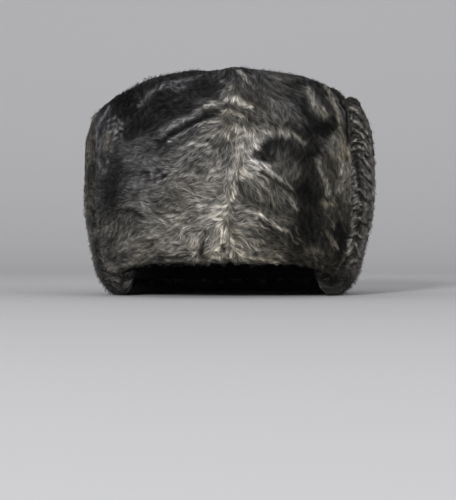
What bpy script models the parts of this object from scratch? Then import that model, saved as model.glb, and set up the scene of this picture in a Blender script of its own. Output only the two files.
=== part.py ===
"""A karakul fur hat with its flaps turned up, at its real size in metres.

The hat's front faces -Y and +Z is up. The origin is on the surface that the hat rests on, under
the middle of its length and width. Angles go round the hat from the front, 0 degrees, towards +X.
A place in a wall is an inset, measured inwards from the widest outline, and a height.
"""
import math
from collections import namedtuple

import bpy
import bmesh

# Plan of the hat, at the skin of the pelt where the hat is widest
HALF_WIDTH = 0.116
HALF_LENGTH = 0.131
PLAN_POWER = 2.2

# Padded walls
CROWN_TOP = 0.178
CROWN_WALL = 0.009
FLAP_WALL = 0.0155
FLAP_TOP_WALL = 0.0125
FLAP_THINS_FROM = 0.115
CROWN_GAP = 0.0005
DOME_GAP = 0.0018
SEAT_GAP = 0.0003

# The crown is upright up to the dome, whose plan shrinks by this power
DOME_START = 0.118
DOME_POWER = 3.2

# Lower edges of the turned-up flaps: a fold's depth runs inwards to its lowest line, and from
# there the underside of the lip rises to the lip's end
Fold = namedtuple("Fold", "height depth power lip_rise")
FRONT_FOLD = Fold(0.0150, 0.0120, 1.70, 0.0040)
EAR_FOLD = Fold(0.0240, 0.0200, 1.45, 0.0000)
LIP_ROUND = 0.003

# Ends of the flaps, where the front flap meets the ear flaps
FRONT_FLAP_END = 52.2
EAR_FLAP_END = 52.65
END_ROUND = 0.010
END_FULLNESS = 0.36
CORNER_PROUD = 0.0045

# Mesh
FRONT_STEPS = 26
EAR_STEPS = 54
END_STEPS = 3
CROWN_SIDES = 64
CROWN_WALL_ROWS = 5
DOME_DEGREES = (14, 28, 42, 55, 67, 78)
FLAP_WALL_ROWS = 8
FOLD_DEGREES = (20, 42, 66)
TOP_EDGE_DEGREES = (28, 58, 82)

Barrel = namedtuple("Barrel", "height inset")
BARREL = (
    Barrel(0.000, 0.0122),
    Barrel(0.024, 0.0088),
    Barrel(0.038, 0.0063),
    Barrel(0.052, 0.0034),
    Barrel(0.068, 0.0011),
    Barrel(0.093, 0.0000),
    Barrel(0.118, 0.0010),
)

# How far each flap leans in over the crown's shoulder, added to the barrel
FRONT_LEAN = (
    Barrel(0.118, 0.0000),
    Barrel(0.134, 0.0018),
    Barrel(0.148, 0.0060),
    Barrel(0.160, 0.0110),
    Barrel(0.175, 0.0190),
)
EAR_LEAN = (
    Barrel(0.118, 0.0000),
    Barrel(0.134, 0.0022),
    Barrel(0.143, 0.0050),
    Barrel(0.150, 0.0085),
    Barrel(0.156, 0.0125),
    Barrel(0.165, 0.0190),
)

# How much of a front corner's standing out is felt at each height
CORNER_RISE = (
    Barrel(0.030, 0.90),
    Barrel(0.060, 0.90),
    Barrel(0.090, 0.60),
    Barrel(0.140, 1.00),
)

Edge = namedtuple("Edge", "degrees height")

# Underside of the fold, which is raised over the forehead
FRONT_FLAP_RIM = (
    Edge(0, 0.0275),
    Edge(15, 0.0275),
    Edge(32, 0.0265),
    Edge(42, 0.0225),
    Edge(52.2, 0.0165),
)
EAR_FLAP_RIM = (
    Edge(52, 0.0080),
    Edge(60, 0.0030),
    Edge(69, 0.0000),
    Edge(90, 0.0000),
    Edge(180, 0.0000),
)

# Lower edge of the crown, which sits in the fold
CROWN_EDGE = (
    Edge(0, 0.0370),
    Edge(15, 0.0370),
    Edge(32, 0.0355),
    Edge(42, 0.0310),
    Edge(52, 0.0240),
    Edge(61, 0.0150),
    Edge(72, 0.0105),
    Edge(90, 0.0095),
    Edge(180, 0.0095),
)

# Top edge of the front flap, left to right: it stands lower on the wearer's right
FRONT_FLAP_TOP = (
    Edge(-52.2, 0.1385),
    Edge(-49, 0.1455),
    Edge(-44, 0.1515),
    Edge(-36, 0.1565),
    Edge(-30, 0.1585),
    Edge(-17, 0.1620),
    Edge(-4, 0.1665),
    Edge(5, 0.1720),
    Edge(15, 0.1692),
    Edge(25, 0.1672),
    Edge(35, 0.1652),
    Edge(43, 0.1605),
    Edge(49, 0.1568),
    Edge(52.2, 0.1525),
)

# Top edge of the ear and neck flap, from the wearer's left round the back to the right
EAR_FLAP_TOP = (
    Edge(52, 0.1390),
    Edge(57, 0.1450),
    Edge(67, 0.1510),
    Edge(85, 0.1580),
    Edge(103, 0.1530),
    Edge(122, 0.1360),
    Edge(142, 0.1180),
    Edge(162, 0.1080),
    Edge(180, 0.1060),
    Edge(198, 0.1080),
    Edge(218, 0.1160),
    Edge(238, 0.1300),
    Edge(257, 0.1425),
    Edge(275, 0.1460),
    Edge(293, 0.1435),
    Edge(303, 0.1380),
    Edge(308, 0.1320),
)

# Main swells and hollows of the soft walls: lift is outwards, and spans are to half its lift
Swell = namedtuple("Swell", "degrees height span_degrees span_height lift")
FRONT_FLAP_SWELLS = (
    Swell(-36, 0.135, 11, 0.016, 0.0016),
    Swell(-20, 0.152, 12, 0.010, 0.0014),
    Swell(-14, 0.128, 16, 0.006, -0.0014),
    Swell(6, 0.150, 9, 0.012, 0.0018),
    Swell(25, 0.130, 9, 0.014, 0.0016),
    Swell(40, 0.150, 5, 0.014, -0.0014),
    Swell(4, 0.095, 5, 0.040, -0.0012),
    Swell(18, 0.088, 9, 0.012, 0.0014),
    Swell(-22, 0.085, 14, 0.022, 0.0010),
    Swell(15, 0.052, 9, 0.012, 0.0014),
    Swell(-4, 0.042, 3, 0.012, -0.0014),
    Swell(-40, 0.080, 6, 0.030, -0.0012),
    Swell(38, 0.075, 7, 0.026, -0.0010),
)
EAR_FLAP_SWELLS = (
    Swell(62, 0.134, 8, 0.010, 0.0012),
    Swell(66, 0.108, 9, 0.007, -0.0012),
    Swell(70, 0.082, 10, 0.010, 0.0012),
    Swell(74, 0.046, 14, 0.006, -0.0014),
    Swell(84, 0.020, 22, 0.020, -0.0022),
    Swell(104, 0.118, 12, 0.014, 0.0014),
    Swell(126, 0.070, 14, 0.018, -0.0014),
    Swell(150, 0.050, 14, 0.014, 0.0012),
    Swell(180, 0.078, 8, 0.020, -0.0012),
    Swell(212, 0.060, 14, 0.016, 0.0012),
    Swell(240, 0.092, 12, 0.018, -0.0012),
    Swell(266, 0.050, 14, 0.008, -0.0014),
    Swell(292, 0.100, 9, 0.020, -0.0010),
    Swell(288, 0.142, 24, 0.009, -0.0030),
)
CROWN_SWELLS = (
    Swell(-40, 0.168, 16, 0.010, 0.0015),
    Swell(35, 0.170, 20, 0.010, -0.0012),
    Swell(180, 0.165, 30, 0.014, 0.0014),
)

FurColour = namedtuple("FurColour", "red green blue roughness")
CROWN_FUR = FurColour(0.050, 0.049, 0.050, 0.62)
FRONT_FLAP_FUR = FurColour(0.125, 0.122, 0.116, 0.58)
EAR_FLAP_FUR = FurColour(0.085, 0.084, 0.086, 0.60)


def clear_scene():
    for thing in list(bpy.data.objects):
        bpy.data.objects.remove(thing, do_unlink=True)


def smooth_read(rows, at):
    """Reads a two-column table at a place, on a smooth curve through its rows."""
    if at <= rows[0][0]:
        return rows[0][1]
    if at >= rows[-1][0]:
        return rows[-1][1]
    i = max(k for k in range(len(rows) - 1) if rows[k][0] <= at)
    (x0, y0), (x1, y1) = rows[i], rows[i + 1]
    slope = (y1 - y0) / (x1 - x0)
    before = slope if i == 0 else (y0 - rows[i - 1][1]) / (x0 - rows[i - 1][0])
    after = slope if i + 2 == len(rows) else (rows[i + 2][1] - y1) / (rows[i + 2][0] - x1)
    start = 0.5 * (before + slope) if before * slope > 0 else 0.0
    end = 0.5 * (after + slope) if after * slope > 0 else 0.0
    t = (at - x0) / (x1 - x0)
    width = x1 - x0
    return (y0 * (1 + 2 * t) * (1 - t) ** 2 + start * width * t * (1 - t) ** 2
            + y1 * t * t * (3 - 2 * t) - end * width * t * t * (1 - t))


def turned(degrees):
    """The same direction, between -180 and 180 degrees."""
    return (degrees + 180.0) % 360.0 - 180.0


def swell(rows, degrees, height):
    """How far the soft wall stands out at a place."""
    lift = 0.0
    for row in rows:
        across = turned(degrees - row.degrees) / row.span_degrees
        up = (height - row.height) / row.span_height
        lift += row.lift * 2.0 ** -(across * across + up * up)
    return lift


def plan_reach(degrees, half_width, half_length):
    """Distance from the middle of the hat's rounded oval plan to its outline, at an angle."""
    turn = math.radians(degrees)
    across, along = abs(math.sin(turn) / half_width), abs(math.cos(turn) / half_length)
    return (across ** PLAN_POWER + along ** PLAN_POWER) ** (-1.0 / PLAN_POWER)


def plan_point(degrees, half_width, half_length, height):
    reach = plan_reach(degrees, half_width, half_length)
    turn = math.radians(degrees)
    return (reach * math.sin(turn), -reach * math.cos(turn), height)


def wall_point(degrees, inset, height):
    return plan_point(degrees, HALF_WIDTH - inset, HALF_LENGTH - inset, height)


def crown_edge(degrees):
    return smooth_read(CROWN_EDGE, abs(turned(degrees)))


def crown_size(height, depth=0.0):
    """Half width and half length of the crown at a height, some depth inside its outer face."""
    inset = smooth_read(BARREL, height) + FLAP_WALL + depth
    risen = max(0.0, height - DOME_START) / (CROWN_TOP - depth - DOME_START)
    shrink = (1.0 - min(1.0, risen) ** 2) ** (1.0 / DOME_POWER)
    return (HALF_WIDTH - inset) * shrink, (HALF_LENGTH - inset) * shrink


def crown_clearance(degrees, height):
    """The deepest inset that stays clear of the crown's dome.

    An inset draws the oval in unevenly, so the straight distance is scaled by how far it would
    draw it in at this angle.
    """
    if height >= CROWN_TOP:
        return HALF_WIDTH
    crown_reach = plan_reach(degrees, *crown_size(height)) + DOME_GAP
    widest = plan_reach(degrees, HALF_WIDTH, HALF_LENGTH)
    straight = widest - crown_reach
    moved = widest - plan_reach(degrees, HALF_WIDTH - straight, HALF_LENGTH - straight)
    return straight * straight / moved


def flap_section(degrees, rim, top, fold, lean, swells, proud, fullness):
    """Pairs of outer and inner (inset, height) points of a turned-up flap.

    They go from the end of the lip, under the crown's wall, out round the fold and up the wall to
    the top edge. A fullness under 1 draws both sides together, at the flap's rounded ends.
    """
    seat = crown_edge(degrees)
    lip_top = seat - SEAT_GAP
    crown_face = smooth_read(BARREL, seat) + FLAP_WALL
    lip_end = crown_face + CROWN_WALL
    lip_underside = rim + fold.lip_rise
    fold_top = rim + fold.height

    def outer_inset(height):
        stands_out = proud * smooth_read(CORNER_RISE, height) + swell(swells, degrees, height)
        return smooth_read(BARREL, height) + smooth_read(lean, height) - stands_out

    def inner_inset(height):
        thinned = max(0.0, height - FLAP_THINS_FROM) / (top - FLAP_THINS_FROM)
        wall = FLAP_WALL + (FLAP_TOP_WALL - FLAP_WALL) * min(1.0, thinned)
        inset = smooth_read(BARREL, height) + smooth_read(lean, height) + wall - CROWN_GAP
        return min(inset, crown_clearance(degrees, height)) if height > DOME_START else inset

    fold_inset = outer_inset(fold_top)
    pairs = [
        ((lip_end, lip_underside + LIP_ROUND), (lip_end, lip_top)),
        ((lip_end - LIP_ROUND, lip_underside), (lip_end - LIP_ROUND, lip_top)),
        ((fold_inset + fold.depth, rim), (crown_face - CROWN_GAP, lip_top)),
    ]
    wall_start = max(fold_top, seat)
    for number, turn in enumerate(FOLD_DEGREES):
        sweep = math.radians(turn)
        out = math.sin(sweep) ** (2.0 / fold.power)
        up = 1.0 - math.cos(sweep) ** (2.0 / fold.power)
        outer = (fold_inset + fold.depth * (1.0 - out), rim + fold.height * up)
        height = seat + (wall_start - seat) * (number + 1) / (len(FOLD_DEGREES) + 1)
        pairs.append((outer, (inner_inset(height), height)))

    half_wall = 0.5 * FLAP_TOP_WALL
    wall_end = top - half_wall
    for row in range(FLAP_WALL_ROWS):
        share = row / (FLAP_WALL_ROWS - 1)
        outer_height = fold_top + (wall_end - fold_top) * share
        inner_height = wall_start + (wall_end - wall_start) * share
        pairs.append(((outer_inset(outer_height), outer_height),
                      (inner_inset(inner_height), inner_height)))

    outer_edge, inner_edge = outer_inset(wall_end), inner_inset(wall_end)
    middle, half = 0.5 * (outer_edge + inner_edge), 0.5 * (inner_edge - outer_edge)
    for turn in TOP_EDGE_DEGREES:
        sweep = math.radians(turn)
        side, rise = half * math.cos(sweep), half_wall * math.sin(sweep)
        pairs.append(((middle - side, wall_end + rise), (middle + side, wall_end + rise)))

    drawn = []
    for outer, inner in pairs:
        core = [0.5 * (outer[k] + inner[k]) for k in (0, 1)]
        drawn.append(tuple(tuple(core[k] + (point[k] - core[k]) * fullness for k in (0, 1))
                           for point in (outer, inner)))
    return drawn


def end_places(start, stop, steps):
    """Angles along a flap with the fullness of its section, rounded off at both ends."""
    reach = 0.5 * (HALF_WIDTH + HALF_LENGTH)
    round_degrees = math.degrees(END_ROUND / reach)
    rounding = []
    for step in range(END_STEPS):
        quarter = 0.5 * math.pi * step / END_STEPS
        full = END_FULLNESS + (1.0 - END_FULLNESS) * math.sqrt(1.0 - (1.0 - math.sin(quarter)) ** 2)
        rounding.append((round_degrees * math.sin(quarter), full))
    inside = stop - start - 2.0 * round_degrees
    places = [(start + turn, full) for turn, full in rounding]
    places += [(start + round_degrees + inside * step / steps, 1.0) for step in range(steps + 1)]
    places += [(stop - turn, full) for turn, full in reversed(rounding)]
    return places


def flap_object(name, sections, material):
    """Skins sections of paired points, given as (degrees, pairs), into one closed solid."""
    mesh = bmesh.new()
    rings = []
    for degrees, pairs in sections:
        outer = [mesh.verts.new(wall_point(degrees, *pair[0])) for pair in pairs]
        inner = [mesh.verts.new(wall_point(degrees, *pair[1])) for pair in pairs]
        rings.append((outer, inner))
    for (outer_a, inner_a), (outer_b, inner_b) in zip(rings, rings[1:]):
        ring_a = outer_a + inner_a[::-1]
        ring_b = outer_b + inner_b[::-1]
        for k in range(len(ring_a)):
            after = (k + 1) % len(ring_a)
            mesh.faces.new((ring_a[k], ring_b[k], ring_b[after], ring_a[after]))
    for (outer, inner), turned_round in ((rings[0], False), (rings[-1], True)):
        for k in range(len(outer) - 1):
            corners = (outer[k], outer[k + 1], inner[k + 1], inner[k])
            mesh.faces.new(corners[::-1] if turned_round else corners)
    return finished_object(name, mesh, material)


def finished_object(name, mesh, material):
    bmesh.ops.recalc_face_normals(mesh, faces=mesh.faces)
    bmesh.ops.triangulate(mesh, faces=mesh.faces)
    data = bpy.data.meshes.new(name)
    mesh.to_mesh(data)
    mesh.free()
    data.shade_smooth()
    data.materials.append(material)
    thing = bpy.data.objects.new(name, data)
    bpy.context.scene.collection.objects.link(thing)
    return thing


def fur_material(name, colour):
    material = bpy.data.materials.new(name)
    material.use_nodes = True
    shader = material.node_tree.nodes["Principled BSDF"]
    shader.inputs["Base Color"].default_value = (colour.red, colour.green, colour.blue, 1.0)
    shader.inputs["Roughness"].default_value = colour.roughness
    shader.inputs["Metallic"].default_value = 0.0
    return material


def front_flap():
    sections = []
    for degrees, full in end_places(-FRONT_FLAP_END, FRONT_FLAP_END, FRONT_STEPS):
        rim = smooth_read(FRONT_FLAP_RIM, abs(degrees))
        top = smooth_read(FRONT_FLAP_TOP, degrees)
        proud = CORNER_PROUD * (degrees / FRONT_FLAP_END) ** 2
        pairs = flap_section(
            degrees, rim, top, FRONT_FOLD, FRONT_LEAN, FRONT_FLAP_SWELLS, proud, full)
        sections.append((degrees, pairs))
    return flap_object("front_flap", sections, fur_material("front_flap_fur", FRONT_FLAP_FUR))


def ear_and_neck_flap():
    sections = []
    for degrees, full in end_places(EAR_FLAP_END, 360.0 - EAR_FLAP_END, EAR_STEPS):
        rim = smooth_read(EAR_FLAP_RIM, abs(turned(degrees)))
        top = smooth_read(EAR_FLAP_TOP, degrees)
        pairs = flap_section(degrees, rim, top, EAR_FOLD, EAR_LEAN, EAR_FLAP_SWELLS, 0.0, full)
        sections.append((degrees, pairs))
    return flap_object("ear_and_neck_flap", sections, fur_material("ear_flap_fur", EAR_FLAP_FUR))


def crown_ring(mesh, height_at, depth, swells):
    ring = []
    for side in range(CROWN_SIDES):
        degrees = 360.0 * side / CROWN_SIDES
        height = height_at(degrees)
        half_width, half_length = crown_size(height, depth)
        lift = swell(swells, degrees, height)
        ring.append(mesh.verts.new(plan_point(degrees, half_width + lift, half_length + lift, height)))
    return ring


def crown_shell(mesh, depth, swells):
    """Rings from the crown's edge to its pole, some depth inside its outer face."""
    top = CROWN_TOP - depth
    rings = []
    for row in range(CROWN_WALL_ROWS + 1):
        share = row / CROWN_WALL_ROWS
        rings.append(crown_ring(
            mesh, lambda degrees: crown_edge(degrees) + (DOME_START - crown_edge(degrees)) * share,
            depth, ()))
    for turn in DOME_DEGREES:
        height = DOME_START + (top - DOME_START) * math.sin(math.radians(turn))
        rings.append(crown_ring(mesh, lambda degrees: height, depth, swells))
    return rings, mesh.verts.new((0.0, 0.0, top))


def crown():
    mesh = bmesh.new()
    outer, outer_pole = crown_shell(mesh, 0.0, CROWN_SWELLS)
    inner, inner_pole = crown_shell(mesh, CROWN_WALL, ())
    for rings, pole in ((outer, outer_pole), (inner, inner_pole)):
        for ring_a, ring_b in zip(rings, rings[1:]):
            for k in range(CROWN_SIDES):
                after = (k + 1) % CROWN_SIDES
                mesh.faces.new((ring_a[k], ring_a[after], ring_b[after], ring_b[k]))
        for k in range(CROWN_SIDES):
            mesh.faces.new((rings[-1][k], rings[-1][(k + 1) % CROWN_SIDES], pole))
    for k in range(CROWN_SIDES):
        after = (k + 1) % CROWN_SIDES
        mesh.faces.new((outer[0][k], inner[0][k], inner[0][after], outer[0][after]))
    return finished_object("crown", mesh, fur_material("crown_fur", CROWN_FUR))


def main():
    clear_scene()
    crown()
    front_flap()
    ear_and_neck_flap()


main()
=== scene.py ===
"""The looks of the karakul hat: its pelts, the fur that grows on them, and a plain studio.

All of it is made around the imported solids, in metres, with the hat's front towards -Y and +Z up.
Angles go round the hat from the front towards +X, the wearer's left. A heading is the way that
hair lies on its pelt: as seen from outside, 0 degrees is to the right and 90 degrees is up.
"""
import math
from collections import namedtuple

import bpy
import numpy as np
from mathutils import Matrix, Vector
from mathutils.bvhtree import BVHTree
from mathutils.kdtree import KDTree


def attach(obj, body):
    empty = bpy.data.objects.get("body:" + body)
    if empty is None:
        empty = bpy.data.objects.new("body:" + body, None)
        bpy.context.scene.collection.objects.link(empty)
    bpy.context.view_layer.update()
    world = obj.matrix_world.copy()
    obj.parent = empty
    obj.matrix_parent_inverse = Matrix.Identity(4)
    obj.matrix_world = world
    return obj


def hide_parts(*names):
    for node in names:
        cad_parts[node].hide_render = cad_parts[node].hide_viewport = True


SEED = 11

# The camera stands level, low over the floor, and a little to the right of the hat's front
EYE_AZIMUTH = math.radians(4.0)
EYE_SINE, EYE_COSINE = math.sin(EYE_AZIMUTH), math.cos(EYE_AZIMUTH)
EYE_DISTANCE = 1.3
EYE_HEIGHT = 0.036
EYE_ASIDE = -0.0012
SENSOR_MM = 36.0
PICTURE_HEIGHT = 500
FOCAL_PIXELS = 1592.0

# The studio is a floor that sweeps up into a backdrop, lit by two lamps and an even sky
FLOOR_NEAR = -3.0
FLOOR_BACK = 1.3
SWEEP_RADIUS = 0.9
SWEEP_TOP = 3.5
SWEEP_HALF_WIDTH = 14.0
SWEEP_STEPS = 16
STUDIO_GREY = (0.48, 0.48, 0.495, 1.0)
Lamp = namedtuple("Lamp", "name place size watts")
LAMPS = (
    Lamp("key", (-0.75, -3.3, 1.15), 0.5, 105.0),
    Lamp("fill", (2.2, -2.2, 1.6), 1.8, 18.0),
)
LAMP_AIM = (0.0, 0.0, 0.09)
SKY_LIGHT = 0.55

# The front's markings are charted as the camera sees them, in squares about 0.74 mm wide: across
# from the front flap's middle, and up from the floor under it. The camera is this far up.
CHART_UP = 50.0

# The way that the front's hair lies round charted places
Flow = namedtuple("Flow", "across up heading reach")
FRONT_FLOWS = [Flow(*row) for row in (
    # Ridge and dark patch on the wearer's right
    (-80, 205, 45, 10), (-55, 217, 20, 10), (-30, 222, 10, 9), (-65, 195, 200, 13),
    (-95, 180, 240, 11), (-115, 180, 235, 8), (-118, 165, 250, 8), (-129, 175, 255, 7),
    (-135, 140, 265, 10),
    # Cream band and what falls from the parting
    (-55, 177, 215, 9), (-30, 188, 205, 9), (-15, 195, 200, 8), (-8, 208, 225, 8),
    (-12, 222, 240, 8), (10, 200, 345, 8), (15, 220, 310, 9), (8, 182, 290, 6),
    (-50, 170, 205, 7),
    # Waves that run sideways over the wearer's right half
    (-100, 145, 185, 15), (-70, 140, 192, 15), (-40, 150, 198, 12), (-110, 115, 180, 15),
    (-75, 115, 172, 15), (-40, 120, 190, 12), (-120, 95, 190, 13), (-80, 95, 184, 15),
    (-40, 95, 170, 12),
    # Lower part, combed down to the corner
    (-125, 65, 225, 13), (-100, 55, 218, 15), (-105, 38, 225, 11), (-70, 55, 205, 14),
    (-60, 75, 190, 11), (-42, 62, 315, 6), (-22, 63, 250, 6), (-55, 44, 188, 10),
    (-127, 32, 290, 7), (-134, 60, 268, 7),
    # Left of the spine
    (-15, 160, 215, 9), (-5, 145, 240, 8), (-15, 130, 220, 9), (2, 135, 255, 7),
    (-15, 110, 200, 9), (2, 110, 270, 6), (-12, 85, 215, 8), (-25, 85, 185, 9),
    (-8, 65, 290, 7),
    # Down along the light spine itself
    (3, 197, 285, 5), (4, 186, 335, 5), (18, 162, 300, 6), (24, 150, 265, 5), (8, 142, 235, 5),
    (14, 126, 290, 5), (2, 112, 255, 5), (-8, 95, 225, 5), (-14, 85, 270, 5), (0, 226, 285, 6),
    (1, 215, 275, 6), (0, 205, 280, 5), (-4, 72, 300, 5), (6, 56, 305, 5),
    # Whorl low in the middle
    (-16, 45, 270, 4), (-8, 38, 0, 4), (0, 46, 90, 4), (-7, 53, 180, 4),
    # Right of the spine, falling away from it
    (10, 163, 220, 6), (14, 152, 225, 5), (26, 171, 330, 7), (40, 168, 315, 8),
    (35, 150, 275, 7), (55, 150, 270, 11), (32, 210, 300, 13), (55, 205, 308, 13),
    (70, 220, 330, 9), (55, 182, 325, 9), (72, 175, 300, 8), (87, 195, 305, 8),
    (100, 195, 300, 8), (110, 180, 275, 9), (95, 170, 290, 9), (100, 145, 275, 11),
    (115, 140, 260, 9), (20, 137, 345, 7), (38, 130, 325, 8), (55, 118, 315, 8),
    (75, 130, 280, 12), (15, 110, 300, 8), (35, 105, 285, 9), (58, 100, 275, 9), (15, 90, 5, 6),
    (32, 86, 335, 7), (48, 75, 315, 8), (20, 72, 340, 8), (20, 52, 290, 9), (38, 50, 270, 9),
    (60, 55, 300, 10), (80, 85, 285, 13), (95, 100, 300, 9), (110, 120, 250, 9),
    (115, 65, 265, 9), (95, 60, 280, 9), (85, 42, 300, 9), (110, 38, 240, 8),
)]

# How much a flow counts far off, how much more tousled hair is where flows disagree, and how
# soon it turns sideways at the hem
FLOW_FAR = 0.02
FLOW_UNSURE = 2.5
HEM_TURN = 2.0

# Broad patches of the front's fur, and the tone between them. Tone runs from 0, black, to 1,
# white, and tilt is in degrees.
Patch = namedtuple("Patch", "across up wide high tone tilt", defaults=[0])
FRONT_TONE = 0.28
FRONT_PATCHES = [Patch(*row) for row in (
    (-75, 110, 50, 45, 0.305), (-24, 106, 22, 46, 0.44), (-118, 112, 13, 34, 0.08),
    (-104, 193, 20, 16, 0.08, 30), (-62, 196, 26, 13, 0.05, 14), (-88, 172, 17, 11, 0.08),
    (-28, 213, 18, 10, 0.1, 10), (-118, 172, 7, 10, 0.22), (-54, 161, 18, 8, 0.18, 15),
    (-95, 55, 36, 22, 0.29), (-50, 68, 26, 14, 0.44), (-55, 48, 26, 8, 0.4),
    (-8, 86, 12, 10, 0.56), (-2, 108, 10, 50, 0.35), (8, 146, 12, 12, 0.5),
    (28, 130, 10, 7, 0.5, -15), (6, 42, 34, 6, 0.44), (38, 208, 24, 20, 0.27),
    (24, 186, 12, 8, 0.25), (2, 216, 7, 12, 0.27), (52, 190, 8, 6, 0.31), (68, 181, 7, 5, 0.34),
    (25, 160, 5, 6, 0.52), (-6, 176, 12, 11, 0.47), (-44, 120, 14, 10, 0.46),
    (-36, 88, 14, 14, 0.5), (-8, 60, 8, 12, 0.66), (50, 142, 10, 9, 0.37),
    (75, 214, 22, 8, 0.15), (52, 220, 8, 5, 0.34), (68, 196, 7, 13, 0.16, 20),
    (58, 181, 14, 6, 0.31, -35), (56, 148, 28, 12, 0.12), (92, 172, 18, 10, 0.05),
    (62, 134, 14, 8, 0.29, -30), (78, 108, 14, 30, 0.06), (30, 107, 20, 13, 0.25, -30),
    (20, 58, 16, 10, 0.34), (24, 76, 12, 7, 0.46), (40, 66, 16, 14, 0.24, -30),
    (72, 66, 16, 24, 0.08, -20), (106, 148, 10, 12, 0.34), (84, 150, 6, 8, 0.1),
    (96, 50, 14, 12, 0.17), (114, 165, 7, 30, 0.31), (126, 120, 6, 20, 0.4),
    (112, 60, 8, 26, 0.12), (-134, 120, 5, 60, 0.3), (-38, 72, 9, 11, 0.62),
    (-70, 56, 11, 10, 0.53), (-104, 174, 5, 8, 0.22), (-10, 190, 8, 5, 0.34),
    (12, 208, 7, 7, 0.32), (-38, 100, 7, 7, 0.56), (-38, 121, 8, 6, 0.5), (-84, 159, 8, 6, 0.3),
    (0, 160, 6, 8, 0.34), (36, 118, 7, 6, 0.38), (62, 84, 6, 8, 0.27), (12, 71, 5, 6, 0.5),
    (113, 150, 5, 7, 0.48), (113, 120, 5, 10, 0.46), (113, 85, 5, 9, 0.34),
)]

# How much the tone between them and a patch count, and how soon a patch fades at its edge
FRONT_TONE_WEIGHT = 0.25
PATCH_WEIGHT = 40.0
PATCH_FADE = 2.2

# Warmth makes fur browner. The front's has a start, a slope for each square across and up, and
# more in one spot, high in the middle: across, up and reach.
WARM_START = 1.03
WARM_SLOPE = (0.004, -0.007)
WARM_SPOT = (0, 185, 32)
WARM_SPOT_GAIN = 0.8
WARM_RANGE = (-0.8, 1.2)

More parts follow.
